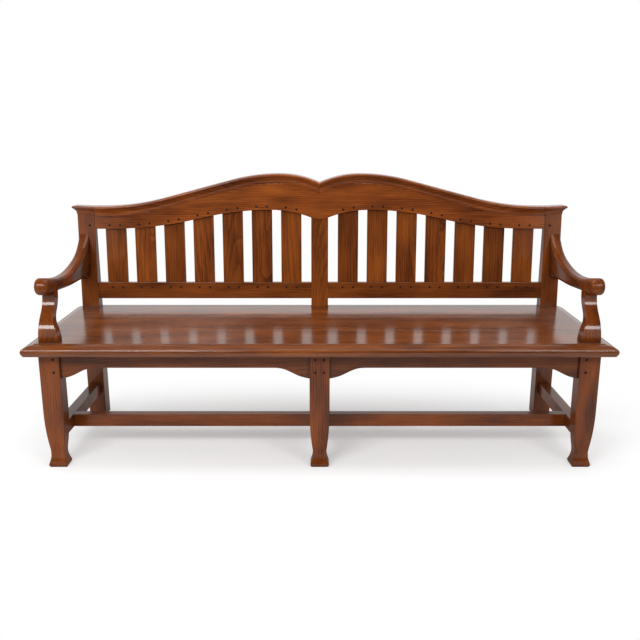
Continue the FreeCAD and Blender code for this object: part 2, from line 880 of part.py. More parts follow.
def arm_post_head(gap):
    half = arm_post_tenon_size / 2
    centre = leg_setback + arm_post_lean + arm_post_depth / 2
    end_gap = mortise_end_gap if gap else 0.0
    return box(arm_post_centre - half, arm_post_centre + half, centre - half / 2, centre + half / 2,
               arm_under_height - 2 * overlap, arm_under_height + arm_post_tenon_length + end_gap, gap)


def arm_post_foot(gap):
    half = arm_post_tenon_size / 2
    centre_x = arm_post_outer - arm_post_base_width / 2
    centre = leg_setback + arm_post_depth / 2
    end_gap = mortise_end_gap if gap else 0.0
    return box(centre_x - half, centre_x + half, centre - half, centre + half,
               seat_height - arm_post_tenon_length - end_gap, seat_height + overlap, gap)


def arm_post(arm):
    return joined([arm_post_body().cut(arm), arm_post_head(0.0), arm_post_foot(0.0)])


# Screws and glue blocks
def screw(head_centre, direction, length, gap, sink=0.0):
    """Countersunk screw from its head along direction; with a gap, the hole and its hollow."""
    along = V(*direction).normalize()
    start = V(*head_centre)
    hollow = start - along * sink
    head = Part.makeCylinder(screw_head_radius + gap, screw_head_height + sink, hollow, along)
    shank = Part.makeCylinder(screw_shank_radius + gap, length + gap, start, along)
    return head.fuse(shank)


def arm_screw_line():
    """Where the arm's screw meets the arm's inner face, and the way that it slants into the post."""
    turn = math.radians(arm_screw_turn)
    height = arm_foot_height + arm_screw_rise
    mouth = V(arm_outer - arm_width_at(height), post_front_at(height) - arm_screw_forward, height)
    return mouth, V(math.sin(turn), math.cos(turn), 0)


def arm_screw(gap):
    mouth, direction = arm_screw_line()
    return screw(mouth + direction * arm_screw_depth, direction, arm_screw_length, gap)


def arm_pocket():
    """Round pocket in the arm's foot, with the screw's head at its bottom."""
    mouth, direction = arm_screw_line()
    start = mouth - direction * 2 * arm_pocket_radius
    return Part.makeCylinder(arm_pocket_radius, 2 * arm_pocket_radius + arm_screw_depth, start, direction)


def block_line(size):
    return [(0, 0), (size, 0), (size, -size * 0.25), (size * 0.25, -size), (0, -size)]


def front_block(x):
    """Glue block behind the front apron, under the seat."""
    line = changed(block_line(block_size), lambda point: (apron_front + apron_thickness + point[0],
                                                          seat_underside + point[1]))
    return along_x(line, x - block_length / 2, x + block_length / 2)


def back_block(x):
    line = changed(block_line(block_size), lambda point: (back_apron_front - point[0],
                                                          seat_underside + point[1]))
    return along_x(line, x - block_length / 2, x + block_length / 2)


def block_places():
    return [middle_leg_half + (leg_inner - middle_leg_half) * share for share in block_shares]


def block_screws(gap):
    centres = [apron_front + apron_thickness + block_size / 3, back_apron_front - block_size / 3]
    bottom = seat_underside - block_size / 2
    return [screw((x, y, bottom), (0, 0, 1), block_screw_length, gap, block_size if gap else 0.0)
            for x in block_places() for y in centres]


# Pegs of the front apron
def apron_pegs(gap):
    places = [leg_inner + peg_side_distance, middle_leg_half - peg_side_distance]
    return [peg(x, seat_underside - drop, leg_setback, leg_peg_length, gap)
            for x in places for drop in leg_peg_drops]


def bench():
    parts = {}
    centres = slat_centres()
    raked_pegs = [raked(shape) for shape in both_sides(upper_pegs(centres, peg_gap)
                                                       + lower_pegs(centres, peg_gap)
                                                       + [post_peg(peg_gap)])]
    peg_holes = both_sides(apron_pegs(peg_gap))
    screw_holes = both_sides(block_screws(glue_gap))

    arm = arm_body()
    parts["arm_post_right"] = arm_post(arm)
    arm = joined([arm.cut(end_post()), arm_tenon(0.0)])
    parts["arm_right"] = arm.cut([arm_post_head(glue_gap), arm_screw(glue_gap), arm_pocket()])

    parts.update(seat_parts(both_sides([arm_post_foot(glue_gap)]) + screw_holes))

    right_leg = leg(leg_centre)
    mortises = front_apron_tenons(glue_gap) + cross_rail_tenons(side_apron_centre, glue_gap)
    mortises += cross_stretcher_tenons(side_stretcher_centre, glue_gap)
    parts["front_leg_right"] = right_leg.cut(mortises + peg_holes)
    middle_leg = leg(0.0)
    mortises = both_sides(front_apron_tenons(glue_gap)) + cross_rail_tenons(0.0, glue_gap)
    mortises += cross_stretcher_tenons(0.0, glue_gap)
    parts["front_leg_middle"] = middle_leg.cut(mortises + peg_holes)

    back_frame = [raked(shape) for shape in rail_tenons(glue_gap) + [crest_tenon(glue_gap)]]
    mortises = back_frame + back_apron_tenons(glue_gap) + [arm_tenon(glue_gap), arm_screw(glue_gap)]
    mortises += cross_rail_tenons(side_apron_centre, glue_gap)
    mortises += cross_stretcher_tenons(side_stretcher_centre, glue_gap)
    parts["back_post_right"] = end_post().cut(mortises + raked_pegs)
    mortises = [raked(shape) for shape in both_sides(rail_tenons(glue_gap))]
    mortises += both_sides(back_apron_tenons(glue_gap)) + cross_rail_tenons(0.0, glue_gap)
    mortises += cross_stretcher_tenons(0.0, glue_gap)
    parts["back_post_middle"] = middle_post().cut(mortises)

    slat_mortises = [slat(centre, glue_gap) for centre in centres]
    upright_pegs = upper_pegs(centres, peg_gap) + lower_pegs(centres, peg_gap) + [post_peg(peg_gap)]
    crest = crest_rail().cut(both_sides(slat_mortises + upright_pegs) + [middle_post_tenon(glue_gap)])
    parts["crest_rail"] = raked(crest)
    parts["crest_cap_right"] = raked(crest_cap())
    parts["post_cap_right"] = post_cap().cut([cap_stub(glue_gap), parts["crest_cap_right"]])
    parts["lower_rail_right"] = raked(lower_rail().cut(slat_mortises + upright_pegs))
    slats = [raked(slat(centre, 0.0).cut(upright_pegs)) for centre in centres]
    in_order = [mirrored(shape) for shape in slats[::-1]] + slats
    for index, shape in enumerate(in_order):
        parts["slat_%02d" % (index + 1)] = shape

    parts["front_apron_right"] = front_apron().cut(peg_holes)
    parts["back_apron_right"] = back_apron()
    parts["side_apron_right"] = cross_rail(side_apron_centre)
    parts["middle_bearer"] = cross_rail(0.0)
    side_stretcher = cross_stretcher(side_stretcher_centre, right_leg)
    parts["side_stretcher_right"] = side_stretcher.cut(long_tenon(glue_gap))
    parts["middle_stretcher"] = cross_stretcher(0.0, middle_leg).cut(middle_stretcher_lap())
    parts["long_stretcher"] = long_stretcher()

    blocks = [shape for x in block_places() for shape in (front_block(x), back_block(x))]
    blocks = [shape.cut(screw_holes) for shape in both_sides(blocks)]
    parts["seat_blocks"] = Part.makeCompound(blocks)
    parts["seat_screws"] = Part.makeCompound(both_sides(block_screws(0.0)))
    parts["arm_screws"] = Part.makeCompound(both_sides([arm_screw(0.0)]))
    parts["apron_pegs"] = Part.makeCompound(both_sides(apron_pegs(0.0)))
    parts["crest_slat_pegs"] = raked(Part.makeCompound(both_sides(upper_pegs(centres, 0.0))))
    parts["rail_slat_pegs"] = raked(Part.makeCompound(both_sides(lower_pegs(centres, 0.0))))
    parts["post_pegs"] = raked(Part.makeCompound(both_sides([post_peg(0.0)])))

    for name in [name for name in parts if name.endswith("_right")]:
        parts[name[:-5] + "left"] = mirrored(parts[name])
    return parts


def export(parts):
    os.makedirs("parts", exist_ok=True)
    for name, shape in sorted(parts.items()):
        shape.translate(V(0, -overall_depth / 2, 0))
        shape.exportStep("parts/" + name + ".step")
        print(name, len(shape.Solids), "valid" if shape.isValid() else "not valid")


export(bench())
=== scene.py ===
# Deacons bench: the polished surfaces, the pegs and screws, the studio and the camera.
# Lengths are in metres unless a name says millimetres. The bench faces -Y, and left is -X.
import math
import random

import bmesh
import bpy
from mathutils import Euler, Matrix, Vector


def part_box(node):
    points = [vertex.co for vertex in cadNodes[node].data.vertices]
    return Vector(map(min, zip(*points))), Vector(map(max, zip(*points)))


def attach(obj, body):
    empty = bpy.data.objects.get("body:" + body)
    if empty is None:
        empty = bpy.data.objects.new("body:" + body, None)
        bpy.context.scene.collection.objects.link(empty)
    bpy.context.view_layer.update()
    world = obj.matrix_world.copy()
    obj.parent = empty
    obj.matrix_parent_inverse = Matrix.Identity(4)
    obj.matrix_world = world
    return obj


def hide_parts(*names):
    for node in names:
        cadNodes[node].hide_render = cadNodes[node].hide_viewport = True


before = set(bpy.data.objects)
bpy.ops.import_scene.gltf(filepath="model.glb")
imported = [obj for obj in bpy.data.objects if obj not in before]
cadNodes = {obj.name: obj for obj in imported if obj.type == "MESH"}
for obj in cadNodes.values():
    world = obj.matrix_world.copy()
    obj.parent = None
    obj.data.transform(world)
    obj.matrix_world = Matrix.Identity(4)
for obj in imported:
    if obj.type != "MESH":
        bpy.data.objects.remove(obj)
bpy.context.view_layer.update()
print("frame: loaded", len(cadNodes), "nodes")


def toLinear(hexColour):
    levels = [int(hexColour[i:i + 2], 16) / 255 for i in (1, 3, 5)]
    return [c / 12.92 if c <= 0.04045 else ((c + 0.055) / 1.055) ** 2.4 for c in levels] + [1.0]


def tinted(hexColour, tone):  # a colour of the wood, lighter or darker board by board
    colour = toLinear(hexColour)
    return [min(1.0, colour[i] * tone[i]) for i in range(3)] + [1.0]


def addNode(tree, kind, settings=None, links=None):
    node = tree.nodes.new(kind)
    for key, value in (settings or {}).items():
        if isinstance(key, int) or key in node.inputs:
            node.inputs[key].default_value = value
        else:
            setattr(node, key, value)
    for key, source in (links or {}).items():
        tree.links.new(source, node.inputs[key])
    return node


def combine(tree, operation, *parts):  # each part is a number or a socket
    numbers = {i: part for i, part in enumerate(parts) if isinstance(part, float)}
    sockets = {i: part for i, part in enumerate(parts) if i not in numbers}
    return addNode(tree, "ShaderNodeMath", {"operation": operation, **numbers}, sockets).outputs[0]


def remap(tree, source, start, end, low=0.0, high=1.0, **more):
    return addNode(tree, "ShaderNodeMapRange", {
        "From Min": start, "From Max": end, "To Min": low, "To Max": high, **more},
        {"Value": source}).outputs["Result"]


def between(tree, first, second, share):  # two fixed colours, mixed by a pattern
    return addNode(tree, "ShaderNodeMix", {"data_type": "RGBA", 6: first, 7: second},
                   {0: share}).outputs[2]


def overlay(tree, under, over, share, blend="MIX"):  # a fixed colour laid over a drawn one
    return addNode(tree, "ShaderNodeMix", {"data_type": "RGBA", "blend_type": blend, 7: over},
                   {0: share, 6: under}).outputs[2]


def stretchedNoise(tree, source, shift, sizeMm, **settings):  # marks this long and this wide
    alongMm, acrossMm = sizeMm
    scale = (1000 / alongMm, 1000 / acrossMm, 1000 / acrossMm)
    drawn = addNode(tree, "ShaderNodeMapping", {"Location": shift, "Scale": scale},
                    {"Vector": source})
    return addNode(tree, "ShaderNodeTexNoise", {"Scale": 1.0, **settings},
                   {"Vector": drawn.outputs["Vector"]})


def wanderingRoughness(tree, look, pattern):
    low, high = look["roughnessSpread"]
    return remap(tree, pattern, 0.0, 1.0, look["roughness"] + low, look["roughness"] + high)


def emptyMaterial(name):
    material = bpy.data.materials.new(name)
    material.use_nodes = True
    material.node_tree.nodes.clear()
    return material, material.node_tree


def surface(tree, settings, links):
    shader = addNode(tree, "ShaderNodeBsdfPrincipled", settings, links)
    addNode(tree, "ShaderNodeOutputMaterial", {}, {"Surface": shader.outputs["BSDF"]})


# Old teak, sawn, planed and french polished, then waxed for a century.
# The eye gets: straight reddish-brown figure with dark late-wood lines and short open pores,
# a clear gloss that lies over the figure, paler rubbed arrises (a painted lit band on the seat's
# nose) and dark wax with painted shade in the corners.
teakPolish = {
    "early": "#944e19", "middle": "#723911", "late": "#451e0a", "pore": "#220e07",
    "rubbedAndLit": "#a25c22", "waxAndShade": "#1d0d08",
    "rampStops": {"late": 0.33, "middle": 0.475, "early": 0.64},
    "ringMm": 7.0, "ringBendMm": 30.0, "bendMm": (700.0, 120.0), "ringWobble": 2.2,
    "pithMm": 120.0, "pithDropMm": 30.0, "pithAngle": (0.2, 1.2), "pithTilt": 0.05,
    "fibreMm": (150.0, 4.0),      # real fibres are finer: drawn this coarse so that they show
    "cloudMm": (260.0, 70.0),
    "poreMm": (9.0, 0.55), "poreEdge": (0.60, 0.72), "poreShare": 0.30, "poreDepthMm": 0.12,
    "ringShare": 0.10, "fibreShare": 0.36, "cloudShare": 0.50, "patternReach": 9.0,
    "roughness": 0.50, "roughnessSpread": (-0.06, 0.10), "specular": 0.05,
    "gloss": 0.8, "glossRoughness": 0.15, "relief": 0.5,
    "arrisMm": 1.4, "arrisTurn": (0.995, 0.80), "arrisWearAndLight": 0.5,
    "waxAndShadeMm": 16.0, "waxAndShadeCover": (0.85, 0.35), "waxAndShadeShare": 0.6,
    "tone": (1.0, 1.0, 1.0), "drift": None,
}


def frenchPolishedTeak(name, look, centre, along, chance):
    material, tree = emptyMaterial(name)
    place = addNode(tree, "ShaderNodeTexCoord").outputs["Object"]
    turn = Vector(along).to_track_quat("X", "Z").to_euler()
    board = addNode(tree, "ShaderNodeMapping",
                    {"vector_type": "TEXTURE", "Location": centre, "Rotation": turn},
                    {"Vector": place}).outputs["Vector"]
    reach = look["patternReach"]
    shift = [chance.uniform(-reach, reach) for _ in range(3)]

    # slow bends of the trunk, so that the rings wander along the board
    bends = stretchedNoise(tree, board, shift, look["bendMm"], Detail=2.0).outputs["Color"]
    centred = addNode(tree, "ShaderNodeVectorMath",
                      {"operation": "SUBTRACT", 1: (0.5, 0.5, 0.5)}, {0: bends})
    amount = look["ringBendMm"] / 1000
    moved = addNode(tree, "ShaderNodeVectorMath",
                    {"operation": "MULTIPLY", 1: (amount, amount, amount)},
                    {0: centred.outputs["Vector"]})
    bent = addNode(tree, "ShaderNodeVectorMath", {"operation": "ADD"},
                   {0: board, 1: moved.outputs["Vector"]}).outputs["Vector"]

    # growth rings round a pith that lies outside the board and not quite along it
    pith, drop = look["pithMm"] / 1000, look["pithDropMm"] / 1000
    angle, tilt = chance.uniform(*look["pithAngle"]), look["pithTilt"]
    trunk = addNode(tree, "ShaderNodeMapping", {
        "Location": (0, pith * math.cos(angle), pith * math.sin(angle) + drop),
        "Rotation": (0, chance.uniform(-tilt, tilt), chance.uniform(-tilt, tilt))},
        {"Vector": bent}).outputs["Vector"]
    waveMm = 1000 * math.tau / 20  # how long one wave of the texture is at a scale of 1
    rings = addNode(tree, "ShaderNodeTexWave", {
        "wave_type": "RINGS", "rings_direction": "X", "wave_profile": "SAW",
        "Scale": waveMm / look["ringMm"], "Distortion": look["ringWobble"],
        "Detail": 2.0, "Detail Scale": 0.6}, {"Vector": trunk}).outputs["Fac"]

    fibre = stretchedNoise(tree, bent, shift, look["fibreMm"], Detail=5.0,
                           Roughness=0.62).outputs["Fac"]
    cloud = stretchedNoise(tree, board, shift, look["cloudMm"], Detail=3.0).outputs["Fac"]
    speckle = stretchedNoise(tree, bent, shift, look["poreMm"], Detail=1.0).outputs["Fac"]
    pores = remap(tree, speckle, *look["poreEdge"])

    # figure: rings, fibres and clouds added up, then read off a ramp of the wood's colours
    figure = combine(tree, "MULTIPLY", rings, look["ringShare"])
    figure = combine(tree, "MULTIPLY_ADD", fibre, look["fibreShare"], figure)
    figure = combine(tree, "MULTIPLY_ADD", cloud, look["cloudShare"], figure)
    ramp = addNode(tree, "ShaderNodeValToRGB", {}, {"Fac": figure})
    stops = ramp.color_ramp.elements
    stops.new(look["rampStops"]["middle"])
    for stop, (wood, at) in zip(stops, look["rampStops"].items()):
        stop.position = at
        stop.color = tinted(look[wood], look["tone"])
    colour = ramp.outputs["Color"]
    # painted shade: the colour is made darker and cooler along X, so one end looks less lit
    if look["drift"]:  # the tone runs from one end of the piece to the other
        start, end, tone = look["drift"]
        sides = addNode(tree, "ShaderNodeSeparateXYZ", {}, {"Vector": place})
        run = remap(tree, sides.outputs["X"], start, end)
        colour = overlay(tree, colour, [*tone, 1.0], run, "MULTIPLY")
    poreMask = combine(tree, "MULTIPLY", pores, look["poreShare"])
    colour = overlay(tree, colour, toLinear(look["pore"]), poreMask)

    # rubbed arrises, and a painted lit band on the seat's nose: paler where a rounded edge would
    # turn away from the flat face
    rounded = addNode(tree, "ShaderNodeBevel", {
        "samples": 6, "Radius": look["arrisMm"] / 1000}).outputs["Normal"]
    flat = addNode(tree, "ShaderNodeNewGeometry").outputs["Normal"]
    turned = addNode(tree, "ShaderNodeVectorMath", {"operation": "DOT_PRODUCT"},
                     {0: rounded, 1: flat}).outputs["Value"]
    edge = remap(tree, turned, *look["arrisTurn"], high=look["arrisWearAndLight"])
    patchy = combine(tree, "MULTIPLY", edge, cloud)
    colour = overlay(tree, colour, tinted(look["rubbedAndLit"], look["tone"]), patchy)

    # old wax and painted shade: darkened where other faces stand close
    corners = addNode(tree, "ShaderNodeAmbientOcclusion",
                      {"samples": 6, "Distance": look["waxAndShadeMm"] / 1000}).outputs["AO"]
    waxAndShadeMask = remap(tree, corners, *look["waxAndShadeCover"], high=look["waxAndShadeShare"])
    colour = overlay(tree, colour, toLinear(look["waxAndShade"]), waxAndShadeMask)

    sunkPores = combine(tree, "MULTIPLY_ADD", pores, -1.0, fibre)
    bump = addNode(tree, "ShaderNodeBump",
                   {"Strength": look["relief"], "Distance": look["poreDepthMm"] / 1000},
                   {"Height": sunkPores, "Normal": rounded})
    surface(tree, {
        "IOR": 1.5, "Specular IOR Level": look["specular"], "Coat IOR": 1.5,
        "Coat Weight": look["gloss"], "Coat Roughness": look["glossRoughness"]}, {
        "Base Color": colour, "Roughness": wanderingRoughness(tree, look, fibre),
        "Normal": bump.outputs["Normal"], "Coat Normal": rounded})
    return material


def dress(nodeName, material):
    piece = cadNodes[nodeName]
    piece.data.materials.clear()
    piece.data.materials.append(material)
    for face in piece.data.polygons:
        face.material_index = 0


def polish(nodeName, look, along, slotName, seed, **changes):
    low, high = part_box(nodeName)
    material = frenchPolishedTeak("teak_" + nodeName, {**look, **changes}, (low + high) / 2,
                                  along, random.Random(seed))
    dress(nodeName, material)


alongBench, alongDepth, alongHeight = (1, 0, 0), (0, 1, 0), (0, 0, 1)
backRake = math.radians(4)  # how far the back leans from upright
alongBack = (0, math.sin(backRake), math.cos(backRake))

# Seat: three boards, the glossiest part, with the figure drawn wider. Its wide, bright orange
# arrises are a painted lit band along the nose.
seatLook = {
    **teakPolish, "early": "#96511a", "middle": "#753b12", "late": "#4e240d",
    "ringMm": 12.0, "cloudShare": 0.42, "gloss": 0.9, "glossRoughness": 0.16,
    "arrisMm": 4.0, "rubbedAndLit": "#c87026",
}
for number, board in enumerate(("seat_front_board", "seat_middle_board", "seat_back_board")):
    polish(board, seatLook, alongBench, "seat_wood", seed=11 + number)

# Slats: sawn from many boards, so each has its own tone and its own distance from the pith
slatLook = {
    **teakPolish, "warmth": (1.0, 0.98, 0.95), "pithMm": 60.0, "pithStepMm": 14.0, "pithSteps": 5,
    "tones": (0.92, 1.32, 1.0, 1.28, 0.95, 1.22, 1.12, 0.84, 1.06, 1.06, 1.0, 0.95, 0.76, 0.96),
}
for number, tone in enumerate(slatLook["tones"], 1):
    steps = number % slatLook["pithSteps"]
    polish("slat_%02d" % number, slatLook, alongBack, "slat_wood", seed=30 + number,
           tone=[tone * part for part in slatLook["warmth"]],
           pithMm=slatLook["pithMm"] + slatLook["pithStepMm"] * steps)

# Back: crest rail, its capping and capitals, the posts and the lower rails
# The crest rail's painted shade darkens it towards its right end.
backLook = {
    **teakPolish, "crestTone": (1.34, 1.3, 1.25), "crestPaintedShade": (-0.25, 0.35, (0.94, 0.92, 1.0)),
    "cappingTone": (1.2, 1.12, 1.1), "postTone": (0.92, 0.90, 0.96),
}
polish("crest_rail", backLook, alongBench, "frame_wood", seed=51,
       tone=backLook["crestTone"], drift=backLook["crestPaintedShade"])
for number, side in enumerate(("left", "right")):
    polish("crest_cap_" + side, backLook, alongBench, "frame_wood", seed=52 + number,
           tone=backLook["cappingTone"])
    polish("post_cap_" + side, backLook, alongBench, "frame_wood", seed=54 + number,
           tone=backLook["cappingTone"])
    polish("lower_rail_" + side, backLook, alongBench, "frame_wood", seed=56 + number,
           tone=backLook["postTone"])
for number, side in enumerate(("left", "middle", "right")):
    polish("back_post_" + side, backLook, alongHeight, "frame_wood", seed=58 + number,
           tone=backLook["postTone"])

# Arms and their posts, rubbed by hands
# The arms' wider, stronger wax-and-shade mask paints the shade where arm and post meet.
armLook = {
    **teakPolish, "tone": (0.88, 0.80, 0.70), "gloss": 0.45, "arrisWearAndLight": 0.6,
    "waxAndShadeMm": 24.0, "waxAndShadeShare": 0.85, "postGloss": 0.8, "postGlossRoughness": 0.11,
    "armGrain": (0, 1, 0.3), "postGrain": (0, 0.25, 1),
}
for number, side in enumerate(("left", "right")):
    polish("arm_" + side, armLook, armLook["armGrain"], "frame_wood", seed=62 + number)
    polish("arm_post_" + side, armLook, armLook["postGrain"], "frame_wood", seed=64 + number,
           gloss=armLook["postGloss"], glossRoughness=armLook["postGlossRoughness"])

# Legs, aprons and stretchers
# The front aprons are toned darker as painted shade from the seat above them.
baseLook = {
    **teakPolish, "gloss": 0.62, "tone": (0.92, 0.82, 0.60), "apronPaintedShade": (0.66, 0.60, 0.50),
}
for number, side in enumerate(("left", "middle", "right")):
    polish("front_leg_" + side, baseLook, alongHeight, "frame_wood", seed=66 + number)
for number, side in enumerate(("left", "right")):
    polish("front_apron_" + side, baseLook, alongBench, "frame_wood", seed=70 + number,
           tone=baseLook["apronPaintedShade"])
    polish("side_apron_" + side, baseLook, alongDepth, "frame_wood", seed=72 + number)
    polish("side_stretcher_" + side, baseLook, alongDepth, "frame_wood", seed=74 + number)
polish("middle_stretcher", baseLook, alongDepth, "frame_wood", seed=76)
polish("long_stretcher", baseLook, alongBench, "frame_wood", seed=77)

# Inner pieces: the same teak, planed and oiled but never polished, so paler, drier and matt
innerLook = {
    **teakPolish, "early": "#97643a", "middle": "#7b4c2b", "late": "#573420",
    "gloss": 0.0, "roughness": 0.62, "arrisWearAndLight": 0.2, "poreDepthMm": 0.2,
}
for number, inner in enumerate(("back_apron_left", "back_apron_right", "seat_tongues")):
    polish(inner, innerLook, alongBench, "inner_wood", seed=80 + number)
polish("middle_bearer", innerLook, alongDepth, "inner_wood", seed=83)
polish("seat_blocks", innerLook, alongBench, "inner_wood", seed=84)
print("teak: dressed", sum(1 for m in bpy.data.materials if m.name.startswith("teak_")), "pieces")


# Pegs: riven teak, driven in with the end grain showing.
# The eye gets: small faceted heads, almost black from wax and dirt, with hardly any gloss.
pegWood = {
    "face": "#34180b", "ring": "#1a0b05", "ringMm": 1.6, "grainDepthMm": 0.2, "relief": 0.6,
    "roughness": 0.6, "roughnessSpread": (-0.12, 0.12), "specular": 0.2,
    "gloss": 0.08, "glossRoughness": 0.25,
}
pegShape = {"radius": 0.0046, "domeRise": 0.0006, "domeScale": 0.72, "sizeSpread": 0.06,
            "sides": 10, "turnSeed": 5}


def waxedEndGrain(name, look):
    material, tree = emptyMaterial(name)
    place = addNode(tree, "ShaderNodeTexCoord").outputs["Object"]
    speckle = addNode(tree, "ShaderNodeTexNoise", {"Scale": 1000 / look["ringMm"], "Detail": 3.0},
                      {"Vector": place}).outputs["Fac"]
    colour = between(tree, toLinear(look["ring"]), toLinear(look["face"]), speckle)
    bump = addNode(tree, "ShaderNodeBump",
                   {"Strength": look["relief"], "Distance": look["grainDepthMm"] / 1000},
                   {"Height": speckle})
    surface(tree, {
        "IOR": 1.5, "Specular IOR Level": look["specular"],
        "Coat Weight": look["gloss"], "Coat Roughness": look["glossRoughness"]}, {
        "Base Color": colour, "Roughness": wanderingRoughness(tree, look, speckle),
        "Normal": bump.outputs["Normal"]})
    return material


def solidBoxes(nodeName, weld=1e-6):  # low and high corner of each separate solid of a node
    shape = bmesh.new()
    shape.from_mesh(cadNodes[nodeName].data)
    bmesh.ops.remove_doubles(shape, verts=shape.verts, dist=weld)
    left, boxes = set(shape.verts), []
    while left:
        group, toVisit = set(), [left.pop()]
        while toVisit:
            vert = toVisit.pop()
            group.add(vert)
            for link in vert.link_edges:
                other = link.other_vert(vert)
                if other in left:
                    left.discard(other)
                    toVisit.append(other)
        low = Vector([min(vert.co[i] for vert in group) for i in range(3)])
        high = Vector([max(vert.co[i] for vert in group) for i in range(3)])
        boxes.append((low, high))
    shape.free()
    return sorted(boxes, key=lambda box: (round(box[0].x, 4), box[0].z))


def pegTree(material):
    tree = bpy.data.node_groups.new("drivenPegs", "GeometryNodeTree")
    tree.interface.new_socket("Geometry", in_out="INPUT", socket_type="NodeSocketGeometry")
    tree.interface.new_socket("Geometry", in_out="OUTPUT", socket_type="NodeSocketGeometry")
    kinds = {name: "NodeSocketFloat" for name in (
        "radius", "length", "domeRise", "domeScale", "sizeSpread", "tilt")}
    kinds.update({name: "NodeSocketInt" for name in ("sides", "turnSeed")})
    sockets = {}
    for name, kind in kinds.items():
        socket = tree.interface.new_socket(name, in_out="INPUT", socket_type=kind)
        sockets[name] = socket.identifier
    given = addNode(tree, "NodeGroupInput").outputs
    shaft = addNode(tree, "GeometryNodeMeshCylinder", {"fill_type": "NGON"}, {
        "Vertices": given["sides"], "Radius": given["radius"], "Depth": given["length"]})
    raised = addNode(tree, "GeometryNodeExtrudeMesh", {"mode": "FACES"}, {
        "Mesh": shaft.outputs["Mesh"], "Selection": shaft.outputs["Top"],
        "Offset Scale": given["domeRise"]})
    domed = addNode(tree, "GeometryNodeScaleElements", {"domain": "FACE"}, {
        "Geometry": raised.outputs["Mesh"], "Selection": raised.outputs["Top"],
        "Scale": given["domeScale"]})

    # each peg is laid along its hole and turned about itself by its own angle
    turn = addNode(tree, "FunctionNodeRandomValue", {"data_type": "FLOAT", 2: 0.0, 3: math.tau},
                   {"Seed": given["turnSeed"]})
    laid = addNode(tree, "ShaderNodeCombineXYZ", {}, {"X": given["tilt"]})
    twist = addNode(tree, "ShaderNodeCombineXYZ", {}, {"Z": turn.outputs[1]})
    laidTurn = addNode(tree, "FunctionNodeEulerToRotation", {}, {"Euler": laid.outputs[0]})
    ownTurn = addNode(tree, "FunctionNodeEulerToRotation", {}, {"Euler": twist.outputs[0]})
    both = addNode(tree, "FunctionNodeRotateRotation", {"rotation_space": "LOCAL"},
                   {"Rotation": laidTurn.outputs[0], "Rotate By": ownTurn.outputs[0]})
    smallest = combine(tree, "SUBTRACT", 1.0, given["sizeSpread"])
    size = addNode(tree, "FunctionNodeRandomValue", {"data_type": "FLOAT", 3: 1.0},
                   {2: smallest, "Seed": given["turnSeed"]})
    spread = addNode(tree, "GeometryNodeInstanceOnPoints", {}, {
        "Points": given["Geometry"], "Instance": domed.outputs["Geometry"],
        "Rotation": both.outputs[0], "Scale": size.outputs[1]})
    whole = addNode(tree, "GeometryNodeRealizeInstances", {},
                    {"Geometry": spread.outputs["Instances"]})
    finished = addNode(tree, "GeometryNodeSetMaterial", {"Material": material},
                       {"Geometry": whole.outputs[0]})
    addNode(tree, "NodeGroupOutput", {}, {"Geometry": finished.outputs["Geometry"]})
    return tree, sockets


def meshFromNodes(name, points, tree, values):
    seedMesh = bpy.data.meshes.new(name + "Places")
    seedMesh.from_pydata(points, [], [])
    carrier = bpy.data.objects.new(name + "Places", seedMesh)
    bpy.context.scene.collection.objects.link(carrier)
    modifier = carrier.modifiers.new("nodes", "NODES")
    modifier.node_group = tree
    for identifier, value in values.items():
        modifier[identifier] = value
    bpy.context.view_layer.update()
    evaluated = carrier.evaluated_get(bpy.context.evaluated_depsgraph_get())
    mesh = bpy.data.meshes.new_from_object(evaluated)
    carrier.modifiers.remove(modifier)
    bpy.data.objects.remove(carrier)
    mesh.name = name
    piece = bpy.data.objects.new(name, mesh)
    bpy.context.scene.collection.objects.link(piece)
    return piece


drivenPegs, pegSockets = pegTree(waxedEndGrain("waxedPegEndGrain", pegWood))
pegLeans = {"crest_slat_pegs": backRake, "rail_slat_pegs": backRake, "post_pegs": backRake,
            "apron_pegs": 0.0}
for nodeName, lean in pegLeans.items():
    inward = Vector((0, math.cos(lean), -math.sin(lean)))  # the way that a peg is driven
    boxes = solidBoxes(nodeName)
    holeDepth = max(high.y - low.y for low, high in boxes) / math.cos(lean)
    tipped = 2 * pegShape["radius"] * math.sin(lean)  # what the leaning ends add to the box
    values = {**pegShape, "length": holeDepth - pegShape["domeRise"] - tipped,
              "tilt": math.pi / 2 - lean}
    back = inward * pegShape["domeRise"] / 2
    heads = meshFromNodes(nodeName + "_driven", [(low + high) / 2 + back for low, high in boxes],
                          drivenPegs, {pegSockets[key]: value for key, value in values.items()})
    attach(heads, "root")
    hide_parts(nodeName)
    print("pegs:", nodeName, len(boxes))


# Screws: turned mild steel, never plated, so dulled and browned by age.
# The eye gets: grey metal under a patchy brown bloom, rougher where it is brown.
screwSteel = {
    "steel": "#6d655d", "tarnish": "#3a2a20", "tarnishMm": 4.0, "tarnishEdge": (0.35, 0.7),
    "roughness": 0.42, "roughnessSpread": (-0.1, 0.25), "bloomDepthMm": 0.1, "relief": 0.3,
}


def agedSteel(name, look):
    material, tree = emptyMaterial(name)
    place = addNode(tree, "ShaderNodeTexCoord").outputs["Object"]
    bloom = addNode(tree, "ShaderNodeTexNoise",
                    {"Scale": 1000 / look["tarnishMm"], "Detail": 4.0},
                    {"Vector": place}).outputs["Fac"]
    stain = remap(tree, bloom, *look["tarnishEdge"])
    colour = between(tree, toLinear(look["steel"]), toLinear(look["tarnish"]), stain)
    bump = addNode(tree, "ShaderNodeBump",
                   {"Strength": look["relief"], "Distance": look["bloomDepthMm"] / 1000},
                   {"Height": bloom})
    surface(tree, {"Metallic": 1.0}, {
        "Base Color": colour, "Roughness": wanderingRoughness(tree, look, bloom),
        "Normal": bump.outputs["Normal"]})
    return material


steel = agedSteel("agedScrewSteel", screwSteel)
dress("arm_screws", steel)
dress("seat_screws", steel)
print("screws: dressed")


